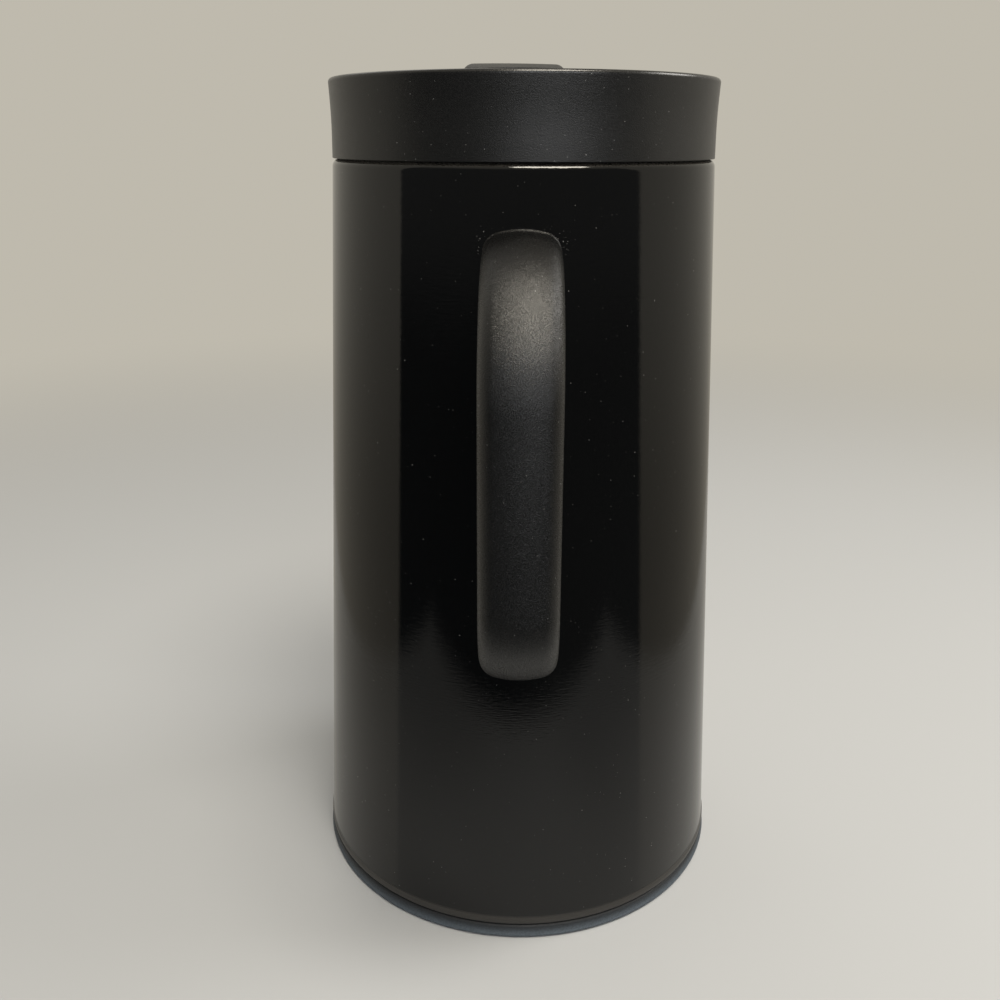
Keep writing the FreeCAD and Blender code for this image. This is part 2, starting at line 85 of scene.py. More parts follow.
def grey(level, warm=0.0):
    # a grey with its red raised and its blue lowered by the warm share
    return (level * (1 + warm), level, level * (1 - warm), 1)


def newGroup(name, inputs, outputs):
    # an empty shader group with float inputs and named outputs
    tree = bpy.data.node_groups.new(name, "ShaderNodeTree")
    tree.interface.new_socket("Vector", in_out="INPUT", socket_type="NodeSocketVector")
    for label, value in inputs.items():
        tree.interface.new_socket(label, in_out="INPUT", socket_type="NodeSocketFloat").default_value = value
    for label in outputs:
        tree.interface.new_socket(label, in_out="OUTPUT", socket_type="NodeSocketFloat")
    return tree, put(tree, "NodeGroupInput").outputs, put(tree, "NodeGroupOutput").inputs


def scaled(tree, vector, scale):
    # each part of the vector times its own scale
    return put(tree, "ShaderNodeVectorMath", {0: vector, 1: scale}, operation="MULTIPLY").outputs[0]


def times(tree, vector, amount):
    # the whole vector times one amount
    return put(tree, "ShaderNodeVectorMath", {0: vector, "Scale": amount}, operation="SCALE").outputs[0]


def mouldGrain():
    # spark-eroded grain: a noise of single pebbles and a finer one on top, and a mask of the pebbles' crests
    grit = {"finer": 2.3, "crestFrom": 0.60, "crestTo": 0.85}
    tree, take, give = newGroup("mouldGrain", {"Scale": 2600.0, "Fine": 0.35}, ["Height", "Mask"])
    where = take["Vector"]
    pebbles = put(tree, "ShaderNodeTexNoise", {"Vector": where, "Scale": take["Scale"], "Detail": 0.0})
    smaller = maths(tree, "MULTIPLY", take["Scale"], grit["finer"])
    onTop = put(tree, "ShaderNodeTexNoise", {"Vector": where, "Scale": smaller, "Detail": 0.0})
    summed = maths(tree, "MULTIPLY_ADD", onTop.outputs[0], take["Fine"], pebbles.outputs[0])
    tree.links.new(summed, give["Height"])
    tree.links.new(remap(tree, summed, grit["crestFrom"], grit["crestTo"]), give["Mask"])
    return tree


def dustSpecks():
    # one small dot near the middle of some cells of a cell pattern, each with its own size and strength;
    # the rest of the cells stay bare
    speck = {"least": 0.3, "contrast": 2.5, "faint": 0.15}
    tree, take, give = newGroup("dustSpecks", {"Scale": 320.0, "Size": 0.06, "Share": 0.1}, ["Mask"])
    cells = put(tree, "ShaderNodeTexVoronoi", {"Vector": take["Vector"], "Scale": take["Scale"]})
    parts = put(tree, "ShaderNodeSeparateColor", {"Color": cells.outputs["Color"]})
    chosen = maths(tree, "LESS_THAN", parts.outputs[0], take["Share"])
    size = maths(tree, "MULTIPLY", take["Size"], maths(tree, "ADD", parts.outputs[1], speck["least"]))
    inside = maths(tree, "LESS_THAN", cells.outputs["Distance"], size)
    strength = maths(tree, "POWER", parts.outputs[2], speck["contrast"])
    level = maths(tree, "MULTIPLY_ADD", strength, 1 - speck["faint"], speck["faint"])
    shown = maths(tree, "MULTIPLY", chosen, inside)
    tree.links.new(maths(tree, "MULTIPLY", shown, level), give["Mask"])
    return tree


def fineScratches():
    # straight hairlines: specks in coordinates turned a little and drawn out along one direction
    runs = [{"turn": (0.3, 0.5, 0.2), "stretch": (1.0, 1.0, 0.03)},
            {"turn": (0.9, -0.4, 0.7), "stretch": (0.03, 1.0, 1.0)}]
    tree, take, give = newGroup("fineScratches", {"Scale": 60.0, "Size": 0.03, "Share": 0.1}, ["Mask"])
    values = {label: take[label] for label in ("Scale", "Size", "Share")}
    masks = []
    for run in runs:
        inputs = {"Vector": take["Vector"], "Rotation": run["turn"]}
        turned = put(tree, "ShaderNodeVectorRotate", inputs, rotation_type="EULER_XYZ").outputs[0]
        masks.append(effect(tree, dustGroup, scaled(tree, turned, run["stretch"]), **values)["Mask"])
    tree.links.new(maths(tree, "MAXIMUM", *masks), give["Mask"])
    return tree


def turningMarks():
    # streaks that run round the axis: a noise squeezed along Z, so it hardly changes round a ring
    tree, take, give = newGroup("turningMarks", {"Fineness": 900.0, "Run": 4.0}, ["Height"])
    squeeze = put(tree, "ShaderNodeCombineXYZ", {0: take["Run"], 1: take["Run"], 2: take["Fineness"]})
    where = scaled(tree, take["Vector"], squeeze.outputs[0])
    inputs = {"Vector": where, "Scale": 1.0, "Detail": 3.0, "Roughness": 0.6}
    tree.links.new(put(tree, "ShaderNodeTexNoise", inputs).outputs[0], give["Height"])
    return tree


def handSmears():
    # soft patches left by hands, from a warped noise
    smear = {"warpScale": 2.0, "warp": 0.02, "from": 0.48, "to": 0.72}
    tree, take, give = newGroup("handSmears", {"Scale": 26.0}, ["Mask"])
    where = take["Vector"]
    warpScale = maths(tree, "MULTIPLY", take["Scale"], smear["warpScale"])
    warp = put(tree, "ShaderNodeTexNoise", {"Vector": where, "Scale": warpScale}).outputs["Color"]
    shift = times(tree, warp, smear["warp"])
    moved = put(tree, "ShaderNodeVectorMath", {0: where, 1: shift}, operation="ADD").outputs[0]
    patch = put(tree, "ShaderNodeTexNoise", {"Vector": moved, "Scale": take["Scale"], "Detail": 4.0})
    tree.links.new(remap(tree, patch.outputs[0], smear["from"], smear["to"]), give["Mask"])
    return tree


def settledDust():
    # specks all over, and many more in the two corners where the handle's upper arm meets the wall
    corner = {"place": (0.0088, -0.0580, 0.2120), "near": 0.0022, "far": 0.0052}
    tree, take, give = newGroup("settledDust", {"Share": 0.2}, ["Mask"])
    where = take["Vector"]
    place = put(tree, "ShaderNodeSeparateXYZ", {0: where}).outputs
    aside = maths(tree, "ABSOLUTE", place[0])
    mirrored = put(tree, "ShaderNodeCombineXYZ", {0: aside, 1: place[1], 2: place[2]}).outputs[0]
    apart = put(tree, "ShaderNodeVectorMath", {0: mirrored, 1: corner["place"]}, operation="DISTANCE")
    close = remap(tree, apart.outputs["Value"], corner["near"], corner["far"], 1.0, 0.0)
    spread = effect(tree, dustGroup, where, Scale=760.0, Size=0.085, Share=take["Share"])["Mask"]
    caught = effect(tree, dustGroup, where, Scale=1300.0, Size=0.22, Share=0.8)["Mask"]
    caught = maths(tree, "MULTIPLY", caught, close)
    tree.links.new(maths(tree, "MAXIMUM", spread, caught), give["Mask"])
    return tree


def effect(tree, group, vector, **values):
    # a shared group in this tree, fed with a place and its values or links; returns its outputs
    return put(tree, "ShaderNodeGroup", {"Vector": vector, **values}, node_tree=group).outputs


grainGroup = mouldGrain()
dustGroup = dustSpecks()
settledGroup = settledDust()
scratchGroup = fineScratches()
marksGroup = turningMarks()
smearGroup = handSmears()


def newFinish(name):
    # a material, its tree, its Principled surface and the object coordinates
    material = bpy.data.materials.new(name)
    material.use_nodes = True
    tree = material.node_tree
    surface = tree.nodes["Principled BSDF"]
    where = put(tree, "ShaderNodeTexCoord").outputs["Object"]
    return material, tree, surface, where


def bump(tree, surface, heights):
    # chains bumps; each entry is a height, a strength and a depth in metres
    normal = None
    for height, strength, depth in heights:
        node = put(tree, "ShaderNodeBump", {"Height": height, "Strength": strength, "Distance": depth})
        if normal is not None:
            tree.links.new(normal, node.inputs["Normal"])
        normal = node.outputs[0]
    tree.links.new(normal, surface.inputs["Normal"])


def lacquerFinish():
    # gloss black with smears, hairlines and dust; the rolled edge at the foot is left satin and is a paler
    # warm grey, partly wear and partly a painted highlight; on the shoulder under the lid's edge dust is made
    # paler as painted light in the shaded seam; each fades between two heights
    look = {"colour": grey(0.0018), "ior": 1.5, "smooth": 0.045, "smeared": 0.10,
            "scratch": grey(0.12), "scratchShare": 0.12, "scratchRough": 0.3,
            "dust": grey(0.28), "dustRough": 0.8,
            "wornAndHighlight": grey(0.036, 0.06), "satin": 0.36, "satinFrom": 0.0084, "satinTo": 0.0072,
            "seamDustAndLight": grey(0.26, 0.08), "seamRough": 0.4, "seamLow": 0.2299, "seamHigh": 0.2308,
            "clumpFrom": 0.25, "clumpTo": 0.70, "marks": 0.11, "peel": 0.015, "depth": 0.0002}
    material, tree, surface, where = newFinish("gloss_black_lacquer")
    height = put(tree, "ShaderNodeSeparateXYZ", {0: where}).outputs[2]
    smears = effect(tree, smearGroup, where, Scale=22.0)["Mask"]
    dust = effect(tree, settledGroup, where, Share=0.35)["Mask"]
    scratches = effect(tree, scratchGroup, where, Scale=420.0, Size=0.05, Share=0.01)["Mask"]
    marks = effect(tree, marksGroup, where, Fineness=2200.0, Run=300.0)["Height"]
    peel = put(tree, "ShaderNodeTexNoise", {"Vector": where, "Scale": 420.0, "Detail": 1.0}).outputs[0]
    clumps = put(tree, "ShaderNodeTexNoise", {"Vector": where, "Scale": 3000.0, "Detail": 1.0}).outputs[0]
    clumps = remap(tree, clumps, look["clumpFrom"], look["clumpTo"])
    dustAndLightInSeam = maths(tree, "MULTIPLY", clumps, remap(tree, height, look["seamLow"], look["seamHigh"]))
    rolled = remap(tree, height, look["satinTo"], look["satinFrom"], 1.0, 0.0)
    surface.inputs["IOR"].default_value = look["ior"]
    scratched = maths(tree, "MULTIPLY", scratches, look["scratchShare"])
    colour = blendColour(tree, scratched, look["colour"], look["scratch"])
    colour = blendColour(tree, dust, colour, look["dust"])
    # painted light: the dust under the lid's edge is paler than dust, standing in for light in the shaded
    # seam
    colour = blendColour(tree, dustAndLightInSeam, colour, look["seamDustAndLight"])
    # painted highlight: the rolled foot edge is paler and warm, partly wear and partly the lamp's light
    # painted on
    colour = blendColour(tree, rolled, colour, look["wornAndHighlight"])
    tree.links.new(colour, surface.inputs["Base Color"])
    rough = maths(tree, "MULTIPLY_ADD", smears, look["smeared"] - look["smooth"], look["smooth"])
    dulled = ((dust, look["dustRough"]), (scratches, look["scratchRough"]), (rolled, look["satin"]),
              (dustAndLightInSeam, look["seamRough"]))
    for mask, most in dulled:
        rough = maths(tree, "MAXIMUM", rough, maths(tree, "MULTIPLY", mask, most))
    tree.links.new(rough, surface.inputs["Roughness"])
    bump(tree, surface, [(marks, look["marks"], look["depth"]), (peel, look["peel"], look["depth"])])
    return material


def plasticFinish(name, colour, rough, grainScale, grainStrength, dustShare, rim=None):
    # matte moulded plastic with smears, hairlines and dust; rim gives the two heights between which the lid's
    # upper edge is rubbed smooth
    look = {"hollow": 0.75, "crest": 1.35, "crestRough": 0.06, "scratch": 3.5, "scratchShare": 0.35,
            "dust": grey(0.30), "smeared": -0.05, "rubbedRough": -0.10, "rubbedOff": 0.85, "depth": 0.0002}
    material, tree, surface, where = newFinish(name)
    grain = effect(tree, grainGroup, where, Scale=grainScale)
    smears = effect(tree, smearGroup, where, Scale=34.0)["Mask"]
    dust = effect(tree, settledGroup, where, Share=dustShare)["Mask"]
    scratches = effect(tree, scratchGroup, where, Scale=420.0, Size=0.06, Share=0.012)["Mask"]
    shade = blendColour(tree, grain["Mask"], grey(colour * look["hollow"]), grey(colour * look["crest"]))
    scratched = maths(tree, "MULTIPLY", scratches, look["scratchShare"])
    shade = blendColour(tree, scratched, shade, grey(colour * look["scratch"]))
    shade = blendColour(tree, dust, shade, look["dust"])
    tree.links.new(shade, surface.inputs["Base Color"])
    level = maths(tree, "MULTIPLY_ADD", smears, look["smeared"], rough)
    level = maths(tree, "MULTIPLY_ADD", grain["Mask"], look["crestRough"], level)
    pebbles = grain["Height"]
    if rim:
        height = put(tree, "ShaderNodeSeparateXYZ", {0: where}).outputs[2]
        rubbed = remap(tree, height, *rim)
        level = maths(tree, "MULTIPLY_ADD", rubbed, look["rubbedRough"], level)
        left = maths(tree, "MULTIPLY_ADD", rubbed, -look["rubbedOff"], 1.0)
        pebbles = maths(tree, "MULTIPLY", pebbles, left)
    tree.links.new(level, surface.inputs["Roughness"])
    bump(tree, surface, [(pebbles, grainStrength, look["depth"])])
    return material


def siliconeFinish(name, colour, rough, paintedShade=None):
    # soft rubber with a fine grain and a little dust; the optional paler colour low down, with the two
    # heights between which it fades out, paints shade at the top and bounce light near the floor
    look = {"shade": 0.25, "dull": 0.1, "strength": 0.15, "depth": 0.0001, "dust": grey(0.4)}
    material, tree, surface, where = newFinish(name)
    if paintedShade:
        height = put(tree, "ShaderNodeSeparateXYZ", {0: where}).outputs[2]
        faded = remap(tree, height, paintedShade["from"], paintedShade["to"])
        colour = blendColour(tree, faded, paintedShade["colour"], colour)
    grain = effect(tree, grainGroup, where, Scale=1800.0)
    dust = effect(tree, dustGroup, where, Scale=500.0, Size=0.07, Share=0.2)["Mask"]
    darker = maths(tree, "MULTIPLY", grain["Mask"], look["shade"])
    shade = blendColour(tree, dust, blendColour(tree, darker, colour, grey(0.0)), look["dust"])
    tree.links.new(shade, surface.inputs["Base Color"])
    level = maths(tree, "MULTIPLY_ADD", grain["Mask"], look["dull"], rough)
    tree.links.new(level, surface.inputs["Roughness"])
    bump(tree, surface, [(grain["Height"], look["strength"], look["depth"])])
    return material


def steelFinish():
    # turned steel: streaks round the axis in its shade and height, dulled where it is smeared
    look = {"dark": grey(0.42), "light": grey(0.68), "rough": 0.26, "smeared": 0.12, "strength": 0.12,
            "depth": 0.0002}
    material, tree, surface, where = newFinish("brushed_steel")
    marks = effect(tree, marksGroup, where, Fineness=2600.0, Run=8.0)["Height"]
    smears = effect(tree, smearGroup, where, Scale=18.0)["Mask"]
    surface.inputs["Metallic"].default_value = 1.0
    tree.links.new(blendColour(tree, marks, look["dark"], look["light"]), surface.inputs["Base Color"])
    level = maths(tree, "MULTIPLY_ADD", smears, look["smeared"], look["rough"])
    tree.links.new(level, surface.inputs["Roughness"])
    bump(tree, surface, [(marks, look["strength"], look["depth"])])
    return material


def foamFinish():
    # pale foam: its cells get darker, duller and higher away from their middles
    look = {"middle": grey(0.75, 0.06), "edge": grey(0.5, 0.08), "rough": 0.85, "dull": 0.1, "strength": 0.5,
            "depth": 0.0003}
    material, tree, surface, where = newFinish("lid_foam")
    cells = put(tree, "ShaderNodeTexVoronoi", {"Vector": where, "Scale": 1100.0}).outputs["Distance"]
    tree.links.new(blendColour(tree, cells, look["middle"], look["edge"]), surface.inputs["Base Color"])
    level = maths(tree, "MULTIPLY_ADD", cells, look["dull"], look["rough"])
    tree.links.new(level, surface.inputs["Roughness"])
    bump(tree, surface, [(cells, look["strength"], look["depth"])])
    return material


# painted shade and light on the foot band: dark under the bead at the top, paler and bluish near the floor
# where bounce light and a cool reflection fall
footPaintedShade = {"colour": (0.070, 0.088, 0.108, 1), "from": 0.0004, "to": 0.0048}
finishes = {
    "black_lacquer": lacquerFinish(),
    "handle_plastic": plasticFinish("handle_grained_black", colour=0.0035, rough=0.25, grainScale=5200.0,
                                    grainStrength=0.44, dustShare=0.50),
    "lid_plastic": plasticFinish("lid_matte_black", colour=0.005, rough=0.33, grainScale=4200.0,
                                 grainStrength=0.18, dustShare=0.90, rim=(0.2511, 0.2520)),
    "black_silicone": siliconeFinish("foot_silicone", colour=(0.005, 0.006, 0.008, 1), rough=0.58,
                                     paintedShade=footPaintedShade),
    "grey_silicone": siliconeFinish("seal_silicone", colour=grey(0.25), rough=0.55),
    "steel": steelFinish(),
    "foam": foamFinish(),
}
slotOf = {part["node"]: part["material_slot"] for part in frame["record"]["subparts"]}
ownFinish = {
    "shoulder_ring": siliconeFinish("seam_silicone", colour=grey(0.012), rough=0.6),
    "flip_cap": plasticFinish("cap_matte_black", colour=0.005, rough=0.5, grainScale=4200.0,
                              grainStrength=0.18, dustShare=0.40),
}
for name, node in nodes.items():
    node.data.materials.clear()
    node.data.materials.append(ownFinish.get(name, finishes[slotOf[name]]))
print("finishes set:", len(finishes))


def roundedLine(corners, arcSteps, runSteps):
    # a line through (radius, height, rounding) corners: each corner is an arc that touches both runs,
    # and each run has points bunched towards its ends, so the smooth shading stays true beside an arc
    pins = np.array([corner[:2] for corner in corners], float)
    radii = [corner[2] for corner in corners]
    pieces = [pins[:1]]
    for index in range(1, len(pins) - 1):
        back = pins[index - 1] - pins[index]
        on = pins[index + 1] - pins[index]
        back, on = back / np.linalg.norm(back), on / np.linalg.norm(on)
        if radii[index] == 0:
            pieces.append(pins[index:index + 1])
            continue
        half = np.arccos(np.clip(back @ on, -1, 1)) / 2
        reach = radii[index] / np.tan(half)
        middle = pins[index] + (back + on) / np.linalg.norm(back + on) * radii[index] / np.sin(half)
        begin = pins[index] + back * reach - middle
        finish = pins[index] + on * reach - middle
        swing = np.pi - 2 * half
        share = np.linspace(0, 1, arcSteps + 1)[:, None]
        arc = (np.sin((1 - share) * swing) * begin + np.sin(share * swing) * finish) / np.sin(swing)
        pieces.append(middle + arc)
    pieces.append(pins[-1:])
    line = [pieces[0]]
    bunched = (1 - np.cos(np.linspace(0, np.pi, runSteps + 2))) / 2
    for before, after in zip(pieces, pieces[1:]):
        line.append(before[-1] + bunched[1:-1, None] * (after[0] - before[-1]))
        line.append(after)
    return np.concatenate(line)


def spun(line, steps):
    # the line carried round the Z axis: x = r cos a, y = r sin a, z = h
    angle = np.linspace(0, 2 * np.pi, steps, endpoint=False)
    radius, height = line[:, 0, None], line[:, 1, None]
    return np.stack([radius * np.cos(angle), radius * np.sin(angle), height + 0 * angle], 2)


def gridFaces(rows, columns, closed):
    # four corners for each cell of the grid; the last column joins the first, and so does the last row
    # where the line is closed
    down = np.arange(rows if closed else rows - 1)
    row, column = np.meshgrid(down, np.arange(columns), indexing="ij")
    following = (column + 1) % columns
    low, high = row * columns, (row + 1) % rows * columns
    return np.stack([low + column, low + following, high + following, high + column], 2).reshape(-1, 4)


def addPiece(name, grid, body, slot, closed=False, replaced=(), finish=None):
    # a grid that goes around; a line that isn't closed gets a face over its first and its last ring
    sharp = math.radians(35.0)
    rows, columns = grid.shape[:2]
    faces = gridFaces(rows, columns, closed).tolist()
    if not closed:
        ring = list(range(columns))
        faces += [ring[::-1], [(rows - 1) * columns + index for index in ring]]
    mesh = bpy.data.meshes.new(name)
    mesh.from_pydata(grid.reshape(-1, 3).tolist(), [], faces)
    whole = bmesh.new()
    whole.from_mesh(mesh)
    bmesh.ops.recalc_face_normals(whole, faces=whole.faces)  # outwards, because every piece is closed
    whole.to_mesh(mesh)
    whole.free()
    mesh.shade_smooth()
    mesh.set_sharp_from_angle(angle=sharp)
    mesh.materials.append(ownFinish[finish] if finish else finishes[slot])
    piece = bpy.data.objects.new(name, mesh)
    scene.collection.objects.link(piece)
    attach(piece, body)
    if replaced:
        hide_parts(*replaced)


def smooth(value, low, high):
    # eases from 0 to 1 as the value goes from low to high
    share = np.clip((value - low) / (high - low), 0, 1)
    return share * share * (3 - 2 * share)


wall = {"footRadius": 0.0685, "shoulderRadius": 0.0564, "low": 0.0030, "high": 0.2307, "thick": 0.0006,
        "footIn": 0.0610, "footEdge": 0.0004, "neck": 0.0503, "shoulderEdge": 0.0021, "shoulderTop": 0.23088,
        "tuck": 0.0006, "tuckEdge": 0.0003, "bead": 0.00026, "beadLow": 0.0052, "beadEdge": 0.0006,
        "beadFace": 0.0014, "beadCurve": 0.0030, "beadHigh": 0.0079, "beadFade": 0.0040,
        "around": 336, "arc": 16, "run": 20, "innerArc": 6, "innerRun": 6}


def wallRadius(height):
    # the outer wall is a straight cone
    share = (height - wall["low"]) / (wall["high"] - wall["low"])
    return wall["footRadius"] + (wall["shoulderRadius"] - wall["footRadius"]) * share


def addWall():
    # the lacquered shell: foot tucked in under a bead, straight cone, shoulder edge and flat shoulder,
    # then back along its inside
    thick, low, high = wall["thick"], wall["low"], wall["shoulderTop"]
    beadLow, beadHigh = wall["beadLow"], wall["beadHigh"]
    bead = wallRadius(beadLow) + wall["bead"]
    tucked = bead - wall["bead"] - wall["tuck"]
    outside = [(wall["footIn"], low, 0), (tucked, low, wall["footEdge"]), (tucked, beadLow, wall["tuckEdge"]),
               (bead, beadLow, wall["beadEdge"]), (bead, beadLow + wall["beadFace"], wall["beadCurve"]),
               (wallRadius(beadHigh), beadHigh, wall["beadFade"]),
               (wall["shoulderRadius"], high, wall["shoulderEdge"]), (wall["neck"], high, 0)]
    inside = [(wall["neck"], high - thick, 0),
              (wall["shoulderRadius"] - thick, high - thick, wall["shoulderEdge"] - thick),
              (tucked - thick, low + thick, wall["footEdge"]), (wall["footIn"], low + thick, 0)]
    line = np.concatenate([roundedLine(outside, wall["arc"], wall["run"]),
                           roundedLine(inside, wall["innerArc"], wall["innerRun"])])
    addPiece("lacquered_wall", spun(line, wall["around"]), "pitcher", "black_lacquer", closed=True,
             replaced=("outer_shell",))


def addBoot():
    # rubber band round the foot: a hollowed face that flares to the floor, closed behind by the wall
    boot = {"low": 0.0004, "high": 0.0046, "waist": 0.0024, "waistOut": 0.0001, "waistCurve": 0.0050,
            "flare": 0.0009, "edge": 0.0007, "upperEdge": 0.0010, "inner": 0.0611, "sink": 0.0001,
            "around": 256, "arc": 10, "run": 5}
    face = wallRadius(boot["high"])
    behind = wallRadius(wall["beadLow"]) - wall["tuck"] - boot["sink"]
    under = wall["low"] - boot["sink"]
    corners = [(boot["inner"], under, 0), (boot["inner"], boot["low"], 0),
               (face + boot["flare"], boot["low"], boot["edge"]),
               (face + boot["waistOut"], boot["waist"], boot["waistCurve"]),
               (face, boot["high"], boot["upperEdge"]), (behind, boot["high"], 0), (behind, under, 0)]
    line = roundedLine(corners, boot["arc"], boot["run"])
    addPiece("foot_band", spun(line, boot["around"]), "pitcher", "black_silicone", closed=True,
             replaced=("base_boot",))


handle = {"upperArm": 0.2081, "lowerArm": 0.1139, "upperCorner": 0.0971, "lowerCorner": 0.10369,
          "upperBend": 0.031, "lowerBend": 0.016, "halfWidth": 0.0098, "inside": -0.0065,
          "crown": 0.007707, "crownFoot": 0.0053, "crownCurve": 0.0240, "faceEdge": 0.0049,
          "innerEdge": 0.0060, "split": 0.00005, "strapHalfWidth": 0.0056, "strapHalf": 0.0011,
          "wallGap": 0.0001, "lipProud": 0.0003, "lipLength": 0.0018, "lipStart": (-0.0002, 0.0005),
          "lipFall": 0.0006, "groove": 0.0005, "grooveLength": 0.0012, "fineLength": 0.0055,
          "arc": 14, "run": 5, "fineRows": 44, "coarseRows": 14, "upperRows": 56, "backRows": 30,
          "lowerRows": 44}


def gripSection(side):
    # across and outward places round half of the handle's section, hollowed for the strap, and the way each
    # outside point moves when the section swells; side is 1 for the palm's crowned half, -1 for the fingers'
    x, split = handle["halfWidth"], handle["split"] * side
    if side > 0:
        face = [(-x, handle["crownFoot"], handle["faceEdge"]), (0, handle["crown"], handle["crownCurve"]),
                (x, handle["crownFoot"], handle["faceEdge"])]
    else:
        face = [(-x, handle["inside"], handle["innerEdge"]), (x, handle["inside"], handle["innerEdge"])]
    outside = roundedLine([(-x, split, 0)] + face + [(x, split, 0)], handle["arc"], handle["run"])
    along = np.gradient(outside, axis=0)
    swell = np.stack([-along[:, 1], along[:, 0]], 1) / np.linalg.norm(along, axis=1)[:, None] * side
    slotX, slot = handle["strapHalfWidth"], handle["strapHalf"] * side
    hollow = np.array([(slotX, split), (slotX, slot), (-slotX, slot), (-slotX, split)])
    return np.concatenate([outside, hollow]), np.concatenate([swell, 0 * hollow])


def armRows(section, swell, armHeight, upward, bendStart):
    # straight rows from the wall to the bend: each point goes from the cone to the bend's start, and a lip
    # and a groove beside the wall swell and pinch the section
    length = -wallRadius(armHeight) - bendStart
    fine = np.linspace(0, handle["fineLength"], handle["fineRows"])
    rest = np.linspace(handle["fineLength"], length, handle["coarseRows"])[1:]
    away = np.concatenate([fine, rest])[:, None]
    lipEnd = handle["lipLength"]
    rise = smooth(away, *handle["lipStart"])
    swollen = handle["lipProud"] * (rise - smooth(away, lipEnd - handle["lipFall"], lipEnd))
    grooveHalf = handle["grooveLength"] / 2
    pinched = handle["groove"] * (1 - smooth(np.abs(away - lipEnd - grooveHalf), 0, grooveHalf))
    across = section[:, 0] + swell[:, 0] * (swollen - pinched)
    outward = section[:, 1] + swell[:, 1] * (swollen - pinched)
    height = armHeight + outward * upward
    onWall = -np.sqrt(wallRadius(height) ** 2 - across ** 2) - handle["wallGap"]
    return np.stack([across, onWall + (bendStart - onWall) * away / length, height], 2)


def bendRows(y, z, radius, begin, finish, count):
    # a bend's rows: the middle of its circle, its radius, and the angle turned since the upper arm
    angle = np.linspace(begin, finish, count)
    return np.stack([np.full(count, y), np.full(count, z), np.full(count, radius), angle], 1)


def addGrip(name, side, node):
    # rows in three stretches: the upper arm, the bends and the straight between them, and the lower arm
    section, swell = gripSection(side)
    upperArm, lowerArm = handle["upperArm"], handle["lowerArm"]
    upperBend, lowerBend = handle["upperBend"], handle["lowerBend"]
    lean = math.atan2(handle["lowerCorner"] - handle["upperCorner"], upperArm - lowerArm)
    upperTurn, lowerTurn = math.pi / 2 - lean, math.pi / 2 + lean
    upperStart = -handle["upperCorner"] + upperBend * math.tan(upperTurn / 2)
    lowerEnd = -handle["lowerCorner"] + lowerBend * math.tan(lowerTurn / 2)
    first = bendRows(upperStart, upperArm - upperBend, upperBend, 0, upperTurn, handle["upperRows"])
    second = bendRows(lowerEnd, lowerArm + lowerBend, lowerBend, upperTurn, math.pi, handle["lowerRows"])
    share = np.linspace(0, 1, handle["backRows"])[1:-1, None]
    straight = first[-1] + share * (second[0] - first[-1])
    y, z, radius, angle = np.concatenate([first, straight, second]).T[:, :, None]
    reach = radius + section[:, 1]
    middle = np.stack([section[:, 0] + 0 * angle, y - np.sin(angle) * reach, z + np.cos(angle) * reach], 2)
    upper = armRows(section, swell, upperArm, 1, upperStart)
    lower = armRows(section, swell, lowerArm, -1, lowerEnd)
    rows = np.concatenate([upper[:-1], middle, lower[-2::-1]])
    addPiece(name, rows, "pitcher", "handle_plastic", replaced=(node,))


lidTurn = math.radians(8.0)


def turnedLid(points):
    # the lid stands turned a few degrees round Z, and so does everything on it
    cosine, sine = math.cos(lidTurn), math.sin(lidTurn)
    x, y, z = points[..., 0], points[..., 1], points[..., 2]
    return np.stack([x * cosine - y * sine, x * sine + y * cosine, z], -1)


